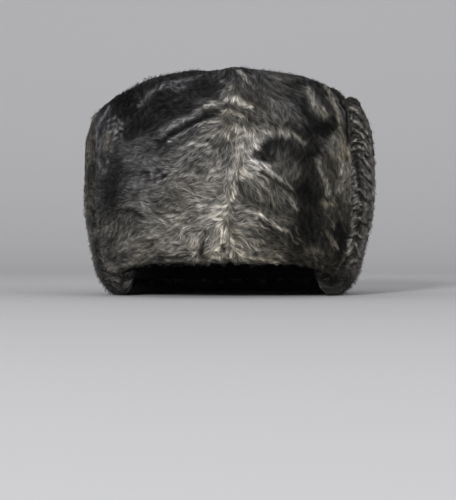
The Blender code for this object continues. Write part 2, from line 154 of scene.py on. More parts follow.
# Streaks of lighter and darker fur along lines of (across, up), with the warmth that they add.
# Near the hem a few are painted light and painted shadow.
Streak = namedtuple("Streak", "line wide tone warmth", defaults=[0])
FRONT_STREAKS = [Streak(*row) for row in (
    # Dark bands and lines
    (((-70, 158), (-62, 163), (-52, 169), (-41, 174), (-30, 180), (-20, 186)), 4, 0.06),
    (((-20, 186), (-14, 188), (-10, 188)), 2.2, 0.12, 0.3),
    (((-5, 182), (0, 176)), 2.8, 0.26, 0.8),
    (((11, 205), (20, 201)), 2.6, 0.2, 0.8),
    (((-110, 200), (-96, 211), (-80, 219), (-60, 226), (-30, 229)), 5, 0.08, -0.2),
    (((36, 152), (38, 145), (44, 139)), 2.6, 0.14, 0.6),
    (((-2, 228), (-6, 214), (-16, 200)), 2, 0.15),
    (((90, 206), (98, 194), (103, 180)), 3.5, 0.16, 0.3),
    (((103, 212), (110, 204), (116, 190), (118, 165), (118, 140)), 1.4, 0.1, 0.8),
    (((109, 210), (114, 205), (118, 200)), 3, 0.2, 1.2),
    (((74, 200), (75, 188), (84, 179)), 3, 0.1, 0.3),
    (((58, 176), (66, 172), (74, 162)), 3, 0.14, 0.6),
    (((8, 174), (20, 177), (34, 178), (52, 177)), 2.5, 0.24, 0.3),
    (((-7, 55), (-6, 52)), 2.5, 0.22, 0.5),
    (((8, 116), (13, 106), (26, 97), (44, 92)), 2.5, 0.2, 0.2),
    (((36, 68), (48, 61), (58, 50)), 2.2, 0.2),
    (((32, 128), (42, 122), (51, 116), (60, 110)), 1.6, 0.14, 0.4),
    (((35, 141), (35, 150), (38, 156), (46, 160), (60, 160)), 2.4, 0.1, 0.4),
    (((30, 80), (38, 75), (48, 66), (58, 61)), 2, 0.16, 0.3),
    (((110, 98), (111, 88)), 2, 0.22),
    (((110, 73), (112, 62), (111, 48)), 3.6, 0.09, -0.6),
    (((103, 138), (104, 120)), 4, 0.21, 0.8),
    (((-72, 98), (-58, 99), (-46, 100)), 2, 0.26),
    (((-76, 86), (-60, 86), (-50, 88)), 2, 0.25),
    (((-86, 129), (-77, 122)), 1.8, 0.14, -0.4),
    (((-73, 131), (-64, 124)), 1.8, 0.14, -0.4),
    (((-22, 160), (-15, 152)), 1.6, 0.2, 0.3),
    (((2, 168), (3, 158), (2, 151)), 2.8, 0.31, 0.2),
    (((-44, 131), (-34, 132), (-28, 128)), 2.5, 0.26),
    (((-26, 100), (-16, 98), (-6, 99)), 1.6, 0.26),
    (((-112, 89), (-98, 88), (-88, 85)), 3, 0.17),
    # Painted shadow of the fold, just above the hem
    (((-78, 42), (-58, 43), (-42, 43)), 1.6, 0.26),
    # Cream and light streaks, and a few darker ones among them
    (((-92, 194), (-84, 199), (-79, 207), (-66, 215), (-50, 220), (-30, 223)), 1.8, 0.35, 0.1),
    (((-62, 214), (-54, 212), (-46, 214)), 3, 0.24, -0.4),
    (((-84, 158), (-75, 162), (-68, 166)), 2.4, 0.25, -0.1),
    (((-67, 168), (-56, 175), (-43, 182), (-30, 188)), 3.2, 0.37, -0.1),
    (((-23, 194), (-17, 197), (-9, 197), (-2, 201)), 3, 0.58),
    (((-8, 204), (-2, 209), (2, 212)), 2.2, 0.36, 0.1),
    (((1, 201), (11, 198)), 3.2, 0.62, 0.1),
    (((11, 198), (22, 194)), 2, 0.6, 0.1),
    (((-6, 189), (3, 187), (12, 183)), 2.3, 0.52, 0.2),
    (((-59, 158), (-47, 166), (-36, 173), (-23, 178), (-13, 179)), 1.3, 0.44),
    (((8, 229), (14, 224), (19, 218)), 1.8, 0.42, 0.5),
    (((-8, 218), (0, 213), (4, 206)), 1.6, 0.34, 0.3),
    (((6, 170), (14, 167), (22, 162), (27, 152)), 3.2, 0.6, 0.1),
    (((24, 164), (25, 156), (20, 146)), 3, 0.56, 0.1),
    (((22, 170), (32, 169), (40, 167), (52, 168), (60, 164)), 3, 0.44, 0.2),
    (((62, 168), (70, 161), (75, 156)), 1.8, 0.36, 0.3),
    (((11, 153), (10, 144), (6, 136)), 3.6, 0.57, 0.3),
    (((16, 140), (26, 138), (35, 134)), 2.6, 0.55),
    (((35, 134), (45, 127), (54, 120)), 1.6, 0.56),
    (((54, 120), (62, 112)), 1.6, 0.36),
    (((23, 140), (15, 131), (12, 122)), 2.8, 0.58, 0.1),
    (((4, 128), (12, 129), (17, 127)), 3.2, 0.62, 0.2),
    (((2, 122), (2, 110), (5, 102), (0, 96)), 1.9, 0.58, 0.2),
    (((0, 97), (-14, 92), (-18, 86)), 3.6, 0.64, 0.1),
    (((-15, 82), (-10, 74), (-5, 66), (1, 58), (7, 52), (12, 46)), 2.8, 0.66, 0.2),
    (((-8, 84), (-1, 75), (5, 67), (10, 60)), 1.2, 0.36, 1.2),
    (((-4, 49), (1, 44), (-2, 41)), 1.4, 0.62),
    (((-18, 56), (-11, 60), (-3, 57)), 1.4, 0.56),
    (((-26, 67), (-27, 55), (-28, 45)), 2.2, 0.15, 0.2),
    (((-37, 106), (-31, 97), (-29, 85)), 1.6, 0.52),
    (((-76, 114), (-64, 121), (-53, 123)), 1.2, 0.42, 0.2),
    (((8, 90), (20, 89), (30, 87), (37, 82), (43, 77), (50, 72), (58, 68)), 1.4, 0.5, -0.1),
    (((60, 66), (69, 57)), 1.2, 0.27),
    (((34, 116), (41, 104), (45, 92)), 1.3, 0.38),
    (((54, 110), (62, 100), (67, 89)), 1.3, 0.4),
    (((18, 120), (28, 110), (33, 98)), 1.4, 0.34),
    (((66, 82), (68, 68), (72, 58)), 1.4, 0.24),
    (((79, 210), (82, 202), (88, 194), (96, 185)), 4.2, 0.41, 0.4),
    (((95, 217), (102, 206), (108, 188), (112, 166), (114, 140)), 2.4, 0.4, 0.8),
    (((112, 158), (114, 146)), 2, 0.52, 0.2),
    (((90, 140), (91, 128), (96, 118), (99, 105)), 2.6, 0.42, 0.1),
    (((119, 152), (121, 136), (122, 116), (122, 98)), 2.6, 0.56, 0.2),
    (((101, 152), (104, 147), (112, 142)), 2.8, 0.42, 0.2),
    (((112, 136), (115, 128)), 2.2, 0.46, 0.1),
    (((114, 121), (108, 110)), 2.4, 0.42, 0.1),
    (((92, 97), (97, 95)), 2.6, 0.38, 0.7),
    (((101, 96), (104, 94)), 1.7, 0.46, 0.6),
    (((103, 78), (105, 72)), 1.4, 0.38, 0.3),
    (((98, 68), (102, 62), (104, 56)), 2.4, 0.31, 0.5),
    (((106, 55), (109, 51)), 1.5, 0.46, -0.3),
    (((118, 50), (116, 44), (112, 36), (108, 28)), 1.2, 0.34),
    (((82, 50), (88, 44)), 4, 0.26, 0.1),
    (((-84, 78), (-66, 77), (-53, 75)), 2.2, 0.44),
    (((-50, 77), (-44, 71), (-38, 64), (-33, 57)), 3, 0.62),
    (((-40, 54), (-36, 48)), 3.2, 0.56),
    (((-60, 84), (-46, 78)), 3, 0.44, 0.1),
    (((-30, 66), (-22, 58)), 2.6, 0.44),
    (((-14, 171), (-8, 169), (-2, 163)), 2.2, 0.48, 0.1),
    (((-18, 128), (-14, 116), (-16, 106)), 2, 0.48, 0.1),
    (((-8, 122), (-5, 106), (-10, 96)), 1.4, 0.42, 0.1),
    (((-122, 179), (-114, 183), (-107, 176)), 1, 0.42),
    (((-122, 173), (-114, 177), (-107, 170)), 1, 0.4, 0.1),
    (((-121, 167), (-115, 171), (-108, 164)), 1, 0.4, 0.2),
    (((-123, 164), (-121, 152)), 3, 0.32, 1),
    (((-125, 150), (-123, 138)), 1.4, 0.3, 0.6),
    (((-122, 192), (-130, 178), (-135, 160)), 1.3, 0.38),
    (((-80, 132), (-79, 122), (-77, 113)), 1, 0.44),
    (((-46, 152), (-36, 157), (-24, 155), (-18, 150)), 2.2, 0.48),
    (((-22, 134), (-12, 128), (0, 130)), 1.3, 0.54),
    (((-12, 148), (-11, 138), (-9, 129)), 1.2, 0.5),
    (((-37, 107), (-25, 101), (-3, 104)), 1.3, 0.52),
    (((-33, 90), (-26, 101)), 1.2, 0.48),
    (((-133, 84), (-135, 62), (-132, 44)), 1.8, 0.32),
    # The next four: painted light along the hem, where the fold turns under, lighter than the fur's
    # own tone
    (((-133, 50), (-128, 38), (-116, 30), (-104, 35), (-88, 40)), 4, 0.44, 0.1),
    (((-66, 38), (-52, 39), (-34, 40)), 1.8, 0.48),
    (((-20, 41), (-8, 42)), 2, 0.64),
    (((22, 42), (32, 39), (52, 37)), 2.2, 0.58),
    (((52, 37), (76, 35)), 2, 0.32),
    (((-90, 46), (-80, 50)), 2.4, 0.4),
    (((-60, 114), (-54, 116), (-44, 112)), 2, 0.38),
    (((-104, 140), (-90, 142), (-76, 138)), 2, 0.32, 0.2),
)]

# A streak is full in its core, and then fades this soon
STREAK_CORE = 1.15
STREAK_FADE = 1.3

# Where fur stands higher or lower, to fill the outline seen from the front, up to this Y
Tuft = namedtuple("Tuft", "across up reach lift")
TUFTS = (
    Tuft(-96, 210, 9, 0.0010), Tuft(-80, 217, 10, 0.0008), Tuft(-56, 226, 9, -0.0004),
    Tuft(-6, 234, 13, -0.0010), Tuft(-24, 231, 9, -0.0016), Tuft(117, 206, 6, 0.0014),
    Tuft(-119, 203, 7, -0.0020), Tuft(126, 202, 8, -0.0024), Tuft(-139, 138, 22, -0.0018),
)
TUFTS_END = 0.04

# Painted highlights along ripple crests on the ear flap at the wearer's left, each with a line of
# painted shade under it
EAR_ARCS = (
    ((120, 192), (126, 190), (133, 182)),
    ((122, 182), (130, 176), (138, 167)),
    ((122, 172), (130, 168), (138, 158)),
    ((120, 157), (127, 160), (135, 157), (139, 149)),
    ((122, 150), (128, 153), (135, 151), (138, 145)),
    ((130, 145), (136, 139), (140, 132)),
    ((133, 130), (138, 124), (142, 119)),
    ((124, 122), (127, 116), (126, 110)),
    ((126, 112), (132, 110), (137, 102)),
    ((123, 97), (128, 99), (133, 95)),
    ((124, 92), (129, 94), (132, 90)),
    ((130, 82), (136, 78)),
    ((122, 65), (128, 67), (132, 63)),
    ((126, 57), (129, 50), (130, 44)),
    ((122, 38), (127, 40)),
)
ARC_WIDE = 1.2
ARC_HIGHLIGHT_TONE = 0.54
ARC_SHADE_TONE = 0.10
ARC_DROP = 2.8

# A painted highlight along the same flap's outer edge, and its light inner edge with a line of
# painted shade outside it, in the groove between the flaps
EAR_EDGE = (
    (141, 160), (144, 120), (144, 100), (141, 80), (139, 65), (136, 50), (133, 38), (130, 25),
)
EDGE_HIGHLIGHT_TONE = 0.52
EAR_SEAM = ((119, 152), (121, 136), (124, 116), (125, 100), (124, 80), (122, 60), (119, 46))
SEAM_WIDE = 2.4
SEAM_LIGHT = 0.50
SEAM_SHADE_TONE = 0.16
SEAM_GAP = 6.5

# These marks lie where X is more, and Y less, than this
EAR_MARKS_X = 0.07
EAR_MARKS_Y = -0.015

# How far noise pushes the outlines of marks, in squares, and the size of its blobs
PATCH_WARP = 5.0
PATCH_WARP_SIZE = 0.012
STREAK_WARP = 1.5
ARC_WARP = 0.75
STREAK_WARP_SIZE = 0.007

# Seeds of the push across and up, and the share and size of the finer push in each
WARP_SEEDS = (21, 31)
FINE_WARP = 0.6
FINE_WARP_SIZE = 0.4

# Layers of smooth noise: how strong each is, the size of its blobs, and its seed. The front's
# tone is mottled in blobs drawn out sideways.
Layer = namedtuple("Layer", "strength size seed")
MOTTLE = (Layer(0.22, 0.0110, 42), Layer(0.24, 0.0052, 43))
MOTTLE_STRETCH = (0.5, 0.5, 1.0)
FRONT_WARMTH = (Layer(0.3, 0.028, 41),)
FRONT_TOUSLE = (Layer(0.60, 0.010, 51), Layer(0.50, 0.0045, 52))
EAR_TOUSLE = (Layer(0.4, 0.045, 61), Layer(0.3, 0.018, 62))
CROWN_TOUSLE = (Layer(0.9, 0.045, 71), Layer(0.5, 0.015, 72))

# The ear and neck flap and the crown have cloudy patches round a base tone and warmth
CLOUDS = (Layer(0.42, 0.034, 0), Layer(0.34, 0.012, 1))
CLOUD_WARMTH = (Layer(0.4, 0.030, 2),)
CLOUD_WARM_START = 0.3
EAR_TONE = 0.36
EAR_CLOUDS_SEED = 101
CROWN_TONE = 0.27
CROWN_CLOUDS_SEED = 111

# The crown is darkest round a place over the front flap's dark patch
DARK_CROWN = (-0.045, -0.045, 0.165)
DARK_CROWN_REACH = 0.055
DARK_CROWN_DEPTH = 0.6

# Headings of the ear and neck flap's hair at angles round the hat, and the crown's way back
EAR_TURNS = (52, 56, 59, 64, 70, 110, 160, 180)
EAR_HEADINGS = (58, 35, 0, -35, -48, -45, -80, -90)
CROWN_BACK = (0.15, 1.0, -0.2)

# How a comb grows fur. Locks stand a spacing apart. A lock is a bunch of strands that starts a
# spread wide to each side, gathers in, and arches up by its lift. Each piece of fur has so many
# strands. Ripples are waves across the hair: their length, their height, the shade, which is how
# much painted highlight on their crests and painted shade in their troughs a strand's tone gets,
# and how far, in radians, they make a lock wiggle.
Comb = namedtuple("Comb", "spacing strands length spread lift width ripple high shade wiggle")
FRONT_COMB = Comb(0.0012, 64000, 0.0058, 0.0006, 0.0013, 0.00027, 0.0056, 0.0007, 0.34, 0.30)
EAR_COMB = Comb(0.0014, 37500, 0.0048, 0.0008, 0.0014, 0.00033, 0.0085, 0.0014, 0.5, 0.50)
CROWN_COMB = Comb(0.0018, 53000, 0.0070, 0.0010, 0.0018, 0.00035, 0.0090, 0.0014, 0.5, 0.50)

# Random roots tried in a square one spacing wide, and how locks differ from their comb
LOCK_SAMPLES = 5.0
LENGTH_RANGE = (0.75, 1.2)
HEIGHT_RANGE = (0.75, 1.15)
LEAST_HEIGHT = 0.0004
BEND = (Layer(0.20, 0.012, 91),)
BEND_WANDER = 0.10

# How much higher a lock stands where its pelt faces down, at the hem
HANG = 0.8

# Steps along a strand, how far locks gather in, which part of half a turn they arch through,
# and how much lower the strands at their sides are
STEPS = 2
GATHER = 0.35
LIFT_START = 0.10
LIFT_SPAN = 0.70
LOCK_ROUNDNESS = 0.40

# How strands differ. A few stray further out, and none goes lower than just above the floor.
LOOSE_RANGE = (0.45, 1.1)
STRAY_RANGE = (0.4, 1.4)
STRAY_SHARE = 0.08
WIDTH_RANGE = (0.7, 1.3)
TWIST = 0.9
FRIZZ = 0.00018
FLOOR_CLEAR = 0.0006

# A strand is a ribbon: its half widths, the corners of its two faces, and its place on the map
TAPER = (0.45, 0.5)
RIBBON_CORNERS = (0, 1, 3, 2, 2, 3, 4)
RIBBON_SIDES = (4, 3)
RIBBON_ON_MAP = ((0.1, 0.05), (0.9, 0.05), (0.1, 0.35), (0.9, 0.35), (0.5, 0.95))

# How a strand's shading normal leans with its lock's round back and slope, and at random
SHADE_ROUND = 0.4
SHADE_SLOPE = 0.5
SHADE_WANDER = 0.12

# Ripples come in short runs, spaced in lengths of a ripple. They lean to either side of the
# hair's way, bend a little, and are lower at a strand's root.
RUN_SAMPLES = 3.0
RUN_SPACING = 1.5
RUNS_NEARBY = 8
RIPPLE_SIDES = (Layer(1.0, 0.035, 141),)
RIPPLE_LEAN = 0.75
RIPPLE_WANDER = 0.22
RIPPLE_PUSH = 0.35
RIPPLE_PUSH_SIZE = 1.6
RIPPLE_PUSH_SEED = 151
ROOT_CREST = 0.4
# Painted highlight on ripple crests and painted shade in their troughs: the crest that is left
# unchanged, and how strong it is, in clouds
CREST_MEAN = 2.0 / math.pi
SHADE_START = 0.9
SHADE_CLOUDS = (Layer(1.1, 0.016, 131),)

# Fine streaks of tone that follow the hair: their contrast, width, and reach both ways
TRAIL_CONTRAST = 0.17
TRAIL_WIDTH = 0.0007
TRAIL_REACH = 0.0036
TRAIL_SAMPLES = 9
TRAIL_SEED = 161

# How strands differ in tone, and from a darker root, painted shade deep in the fur, to a lighter
# tip, and how dark the skin under them is
STRAND_CONTRAST = 0.08
ROOT_SHADE_TO_TIP = (0.80, 1.0, 1.15)
SKIN_TONE = 0.62

# Light that fur of tone 1 sends back, the tone from which fur is fully cream, and the red, green
# and blue that cream and warmth add
FUR_GAIN = 1.15
TONE_POWER = 2.2
TONE_RANGE = (0.02, 0.95)
CREAM_TONE = 0.3
CREAM_TINT = (0.035, -0.01, -0.07)
WARM_TINT = (0.05, 0.01, -0.13)

# How far a place must face outwards to grow fur, on a flap and on the crown
FLAP_FACING = -0.1
FLAP_TOP_FACING = 0.35
CROWN_FACING = 0.05
CROWN_MIDDLE = (0.0, 0.0, 0.07)
CROWN_SQUASH = (1.0, 1.0, 0.6)

# The crown grows no fur under this height, or where a flap covers it this close to its skin
CROWN_FUR_LOW = 0.08
COVER_REACH = 0.012
COVER_START = 0.0004

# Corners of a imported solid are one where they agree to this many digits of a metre
MERGE_DIGITS = 6

# These keep lengths and weights from being divided by nothing
LEAST_LENGTH = 1e-12
LEAST_WEIGHT = 1e-6

rng = np.random.default_rng(SEED)
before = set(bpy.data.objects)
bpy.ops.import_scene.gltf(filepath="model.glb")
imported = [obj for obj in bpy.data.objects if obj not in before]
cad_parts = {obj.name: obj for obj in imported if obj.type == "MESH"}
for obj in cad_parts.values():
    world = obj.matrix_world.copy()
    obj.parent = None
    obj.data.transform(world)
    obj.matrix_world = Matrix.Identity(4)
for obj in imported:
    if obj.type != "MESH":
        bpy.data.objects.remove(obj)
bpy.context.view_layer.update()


def unit(vectors):
    lengths = np.linalg.norm(vectors, axis=-1, keepdims=True)
    return vectors / np.maximum(lengths, LEAST_LENGTH)


def hashed(cells, seed):
    """A number between -1 and 1 for each whole-numbered cell, well scattered."""
    mixed = cells @ np.array([73856093, 19349663, 83492791]) + seed * 2654435761
    mixed = (mixed ^ (mixed >> 13)) * 1274126177
    mixed = mixed ^ (mixed >> 16)
    return (mixed & 0xFFFF) / 32767.5 - 1.0


def noise(points, size, seed):
    """Smooth noise between -1 and 1, in blobs of about a size."""
    scaled = points / size
    cells = np.floor(scaled).astype(np.int64)
    part = scaled - cells
    part = part * part * (3.0 - 2.0 * part)
    total = np.zeros(points.shape[:-1])
    for corner in np.ndindex(2, 2, 2):
        weight = np.prod(np.where(corner, part, 1.0 - part), axis=-1)
        total += weight * hashed(cells + np.array(corner), seed)
    return total


def add_noise(values, points, layers, seed=0):
    """Adds layers of noise at points to values."""
    for layer in layers:
        values = values + layer.strength * noise(points, layer.size, layer.seed + seed)
    return values


def rows_of(things, field, kind=float):
    """Three values of each vertex, triangle or face of a mesh, in a row."""
    values = np.empty(len(things) * 3, kind)
    things.foreach_get(field, values)
    return values.reshape(-1, 3)


class Pelt:
    """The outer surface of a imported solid, with smooth normals."""

    def __init__(self, node):
        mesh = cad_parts[node].data
        mesh.calc_loop_triangles()
        rounded = np.round(rows_of(mesh.vertices, "co"), MERGE_DIGITS)
        self.places, where = np.unique(rounded, axis=0, return_inverse=True)
        self.triangles = where.reshape(-1)[rows_of(mesh.loop_triangles, "vertices", np.int64)]
        a, b, c = (self.places[self.triangles[:, k]] for k in range(3))
        face_normals = np.cross(b - a, c - a)
        self.areas = 0.5 * np.linalg.norm(face_normals, axis=1)
        self.normals = np.zeros_like(self.places)
        for k in range(3):
            np.add.at(self.normals, self.triangles[:, k], face_normals)
        self.normals = unit(self.normals)
        self.tree = BVHTree.FromPolygons(self.places.tolist(), self.triangles.tolist())

    def sampled(self, count):
        """Random places all over the surface, with their normals."""
        picked = rng.choice(len(self.areas), count, p=self.areas / self.areas.sum())
        first, second = np.sqrt(rng.random(count)), rng.random(count)
        weights = np.stack([1.0 - first, first * (1.0 - second), first * second], axis=1)
        return self.blended(picked, weights)

    def blended(self, picked, weights):
        """Places and normals inside the picked triangles, by the weights of their corners."""
        corners = self.triangles[picked]
        places = np.einsum("nk,nkd->nd", weights, self.places[corners])
        return places, unit(np.einsum("nk,nkd->nd", weights, self.normals[corners]))

    def nearest(self, points):
        """The nearest places on the surface, with their smooth normals."""
        found = [self.tree.find_nearest(point) for point in points.tolist()]
        picked = np.array([hit[2] for hit in found])
        places = np.array([hit[0] for hit in found])
        apart = self.places[self.triangles[picked]] - places[:, None]
        across = np.cross(np.roll(apart, -1, axis=1), np.roll(apart, -2, axis=1))
        weights = np.linalg.norm(across, axis=2)
        weights /= weights.sum(axis=1, keepdims=True)
        return places, self.blended(picked, weights)[1]


def round_and_up(points, normals):
    """Two unit ways along the surface: to the right as seen from outside, and up."""
    turn = np.arctan2(points[..., 0], -points[..., 1])
    right = np.stack([np.cos(turn), np.sin(turn), np.zeros_like(turn)], axis=-1)
    right = unit(right - normals * np.sum(right * normals, axis=-1, keepdims=True))
    return right, np.cross(normals, right)


def heading_ways(points, normals, heading):
    """Unit ways along the surface at headings in radians."""
    right, up = round_and_up(points, normals)
    return right * np.cos(heading)[..., None] + up * np.sin(heading)[..., None]


def degrees_round(points):
    return np.degrees(np.arctan2(points[..., 0], -points[..., 1]))


def charted(points):
    """The squares (across, up) where the camera sees each point."""
    aside = points[..., 0] * EYE_COSINE + points[..., 1] * EYE_SINE
    away = EYE_DISTANCE - points[..., 0] * EYE_SINE + points[..., 1] * EYE_COSINE
    up = FOCAL_PIXELS * (points[..., 2] - EYE_HEIGHT) / away + CHART_UP
    return np.stack([FOCAL_PIXELS * aside / away, up], axis=-1)


def reaches_squared(chart, across, up, reach):
    """Squares of the distances of charted places from one place, in its own reaches."""
    return ((chart[..., 0] - across) ** 2 + (chart[..., 1] - up) ** 2) / reach ** 2


def warped(points, reach, size):
    """Charted places of points, pushed about to roughen the outlines of marks."""
    layers = (Layer(1.0, size, 0), Layer(FINE_WARP, FINE_WARP_SIZE * size, 1))
    push = np.stack([add_noise(0.0, points, layers, seed) for seed in WARP_SEEDS], axis=-1)
    return charted(points) + reach * push


def off_line(chart, line):
    """How far each charted place is from a line through the given corners."""
    best = np.full(chart.shape[:-1], np.inf)
    for start, end in zip(np.array(line, float), np.array(line[1:], float)):
        along = end - start
        share = np.clip((chart - start) @ along / (along @ along), 0.0, 1.0)
        best = np.minimum(best, np.linalg.norm(chart - start - share[..., None] * along, axis=-1))
    return best


def streak_weight(chart, line, wide):
    """How much a streak counts: 1 along its line, and less and less beside it."""
    apart = off_line(chart, line) / wide
    return np.minimum(1.0, STREAK_CORE * 2.0 ** -(STREAK_FADE * apart ** 2))


def streaked(chart, tone, line, wide, goal):
    """Tone with a streak of another tone painted over it."""
    return tone + streak_weight(chart, line, wide) * (goal - tone)


def patched_tone(chart):
    """Tone of the front's broad patches, the small ones counting for more."""
    total = np.full(chart.shape[:-1], FRONT_TONE_WEIGHT)
    tone = total * FRONT_TONE
    for patch in FRONT_PATCHES:
        turn = math.radians(patch.tilt)
        across, up = chart[..., 0] - patch.across, chart[..., 1] - patch.up
        along = (across * math.cos(turn) + up * math.sin(turn)) / patch.wide
        beside = (up * math.cos(turn) - across * math.sin(turn)) / patch.high
        most = PATCH_WEIGHT / math.sqrt(patch.wide * patch.high)
        weight = most * 2.0 ** -(PATCH_FADE * (along ** 2 + beside ** 2))
        tone += weight * patch.tone
        total += weight
    return tone / total


def front_warmth(points, chart):
    """Warmth of the front's fur before its streaks."""
    warmth = add_noise(chart @ np.array(WARM_SLOPE) + WARM_START, points, FRONT_WARMTH)
    spot = WARM_SPOT_GAIN * np.exp(-reaches_squared(chart, *WARM_SPOT))
    return np.clip(warmth + spot, *WARM_RANGE)


def front_tone(points):
    """Tone and warmth of the front flap's fur."""
    chart = warped(points, PATCH_WARP, PATCH_WARP_SIZE)
    mottle = add_noise(0.0, points * np.array(MOTTLE_STRETCH), MOTTLE)
    tone = patched_tone(chart) * (1.0 + mottle)
    warmth = front_warmth(points, chart)
    chart = warped(points, STREAK_WARP, STREAK_WARP_SIZE)
    for streak in FRONT_STREAKS:
        weight = streak_weight(chart, streak.line, streak.wide)
        tone = tone + weight * (streak.tone - tone)
        warmth = warmth + weight * streak.warmth
    return tone, warmth


def cloudy_tone(points, base, seed):
    """Tone and warmth of broad cloudy patches round a base tone."""
    tone = base * (1.0 + add_noise(0.0, points, CLOUDS, seed))
    return tone, add_noise(CLOUD_WARM_START, points, CLOUD_WARMTH, seed)


def ear_tone(points):
    """Tone and warmth of the ear and neck flap's fur, with the marks that show in front."""
    tone, warmth = cloudy_tone(points, EAR_TONE, EAR_CLOUDS_SEED)
    chart = warped(points, ARC_WARP, STREAK_WARP_SIZE)
    # A line of painted shade in the groove outside the seam, then the seam's light edge
    outside = [(across + SEAM_GAP, up) for across, up in EAR_SEAM]
    marked = streaked(chart, tone, outside, SEAM_WIDE, SEAM_SHADE_TONE)
    marked = streaked(chart, marked, EAR_SEAM, SEAM_WIDE, SEAM_LIGHT)
    # Painted highlight along each ripple crest, with painted shade under it
    for arc in EAR_ARCS:
        under = [(across, up - ARC_DROP) for across, up in arc]
        marked = streaked(chart, marked, under, ARC_WIDE, ARC_SHADE_TONE)
        marked = streaked(chart, marked, arc, ARC_WIDE, ARC_HIGHLIGHT_TONE)
    # A painted highlight along the flap's outer edge
    marked = streaked(chart, marked, EAR_EDGE, ARC_WIDE, EDGE_HIGHLIGHT_TONE)
    in_front = (points[..., 0] > EAR_MARKS_X) & (points[..., 1] < EAR_MARKS_Y)
    return np.where(in_front, marked, tone), warmth


def crown_tone(points):
    """Tone and warmth of the crown's fur, darkest over the front flap's dark patch."""
    tone, warmth = cloudy_tone(points, CROWN_TONE, CROWN_CLOUDS_SEED)
    apart = np.linalg.norm(points - np.array(DARK_CROWN), axis=-1) / DARK_CROWN_REACH
    return tone * (1.0 - DARK_CROWN_DEPTH * np.exp(-apart ** 4)), warmth


def fur_colour(tone, warmth):
    """Linear colour of a tone: neutral when dark, cream when light, and browner when warm."""
    level = FUR_GAIN * np.clip(tone, *TONE_RANGE) ** TONE_POWER
    cream = np.clip(tone / CREAM_TONE, 0.0, 1.0)
    tints = [1.0 + creamy * cream + warm * warmth for creamy, warm in zip(CREAM_TINT, WARM_TINT)]
    return np.stack([*(level * tint for tint in tints), np.ones_like(level)], axis=-1)


def extra_lift(points):
    """How much higher the fur stands at the charted tufts."""
    chart = charted(points)
    lift = np.zeros(chart.shape[:-1])
    for tuft in TUFTS:
        apart = reaches_squared(chart, tuft.across, tuft.up, tuft.reach)
        lift += tuft.lift * np.exp(-apart)
    return np.where(points[..., 1] < TUFTS_END, lift, 0.0)


def front_heading(points, normals):
    """The front flap's hair follows the charted flows, and lies sideways at the hem."""
    chart = charted(points)
    way = np.zeros((*chart.shape[:-1], 2))
    total = np.full(chart.shape[:-1], LEAST_WEIGHT)
    for flow in FRONT_FLOWS:
        apart = reaches_squared(chart, flow.across, flow.up, flow.reach)
        weight = np.exp(-0.5 * apart) + FLOW_FAR / (1.0 + apart)
        turn = math.radians(flow.heading)
        way += weight[..., None] * np.array([math.cos(turn), math.sin(turn)])
        total += weight
    hem = np.clip(-HEM_TURN * normals[..., 2], 0.0, 1.0)[..., None]
    aside = np.stack([np.sign(chart[..., 0]), np.zeros(chart.shape[:-1])], axis=-1)
    turned = unit(way) * (1.0 - hem) + aside * hem
    heading = np.arctan2(turned[..., 1], turned[..., 0])
    unsure = 1.0 - np.linalg.norm(way, axis=-1) / total
    return heading + add_noise(0.0, points, FRONT_TOUSLE) * (1.0 + FLOW_UNSURE * unsure)


def ear_heading(points, normals):
    """Hair arches over the front of each ear flap, then falls backwards, and down at the neck."""
    turn = degrees_round(points)
    fall = np.radians(np.interp(np.abs(turn), EAR_TURNS, EAR_HEADINGS))
    return add_noise(np.where(turn >= 0.0, fall, math.pi - fall), points, EAR_TOUSLE)


def crown_heading(points, normals):
    """Hair on the crown lies towards the hat's back."""
    right, up = round_and_up(points, normals)
    back = np.array(CROWN_BACK)
    return add_noise(np.arctan2(up @ back, right @ back), points, CROWN_TOUSLE)


def thinned(places, spacing):
    """Indices of one random place in each cell of a grid."""
    order = rng.permutation(len(places))
    cells = np.floor(places[order] / spacing).astype(np.int64)
    return order[np.unique(cells, axis=0, return_index=True)[1]]


class Ripples:
    """Waves that cross the lie of a pelt's hair, in short runs that blend into each other."""

    def __init__(self, pelt, heading, length):
        self.length = length
        places, normals = pelt.sampled(int(RUN_SAMPLES * pelt.areas.sum() / length ** 2))
        kept = thinned(places, RUN_SPACING * length)
        self.places, normals = places[kept], normals[kept]
        lean = RIPPLE_LEAN * np.sign(add_noise(0.0, self.places, RIPPLE_SIDES))
        lean += rng.normal(0.0, RIPPLE_WANDER, len(kept))
        turned = heading(self.places, normals) + lean
        self.ways = heading_ways(self.places, normals, turned)
        self.starts = rng.uniform(0.0, 2.0 * math.pi, len(kept))
        self.tree = KDTree(len(kept))
        for i, place in enumerate(self.places.tolist()):
            self.tree.insert(place, i)
        self.tree.balance()

    def nearby(self, points):
        """The nearest runs of waves to each point."""
        found = [self.tree.find_n(point, RUNS_NEARBY) for point in points.tolist()]
        return np.array([[hit[1] for hit in hits] for hits in found])

    def phase(self, points, runs):
        """Phase of the waves at points in rows, each row near the same few runs."""
        apart = points[:, :, None] - self.places[runs][:, None]
        along = np.sum(apart * self.ways[runs][:, None], axis=-1)
        push = RIPPLE_PUSH * noise(points, RIPPLE_PUSH_SIZE * self.length, RIPPLE_PUSH_SEED)
        turn = 2.0 * math.pi * (along / self.length + push[..., None])
        turn += self.starts[runs][:, None]
        weight = np.exp(-0.5 * np.sum(apart * apart, axis=-1) / self.length ** 2)
        sine, cosine = np.sum(weight * np.sin(turn), axis=-1), np.sum(weight * np.cos(turn), axis=-1)
        return np.arctan2(sine, cosine)


def trail_tone(places, ways):
    """Noise averaged along the lie of the hair, with a spread of 1."""
    total = np.zeros(places.shape[:-1])
    for reach in np.linspace(-TRAIL_REACH, TRAIL_REACH, TRAIL_SAMPLES):
        total += noise(places + ways * reach, TRAIL_WIDTH, TRAIL_SEED)
    return total / np.std(total)


Locks = namedtuple("Locks", "path normals ways height runs")
Strands = namedtuple("Strands", "across along loose frizz twist")
Lie = namedtuple("Lie", "up way side places")


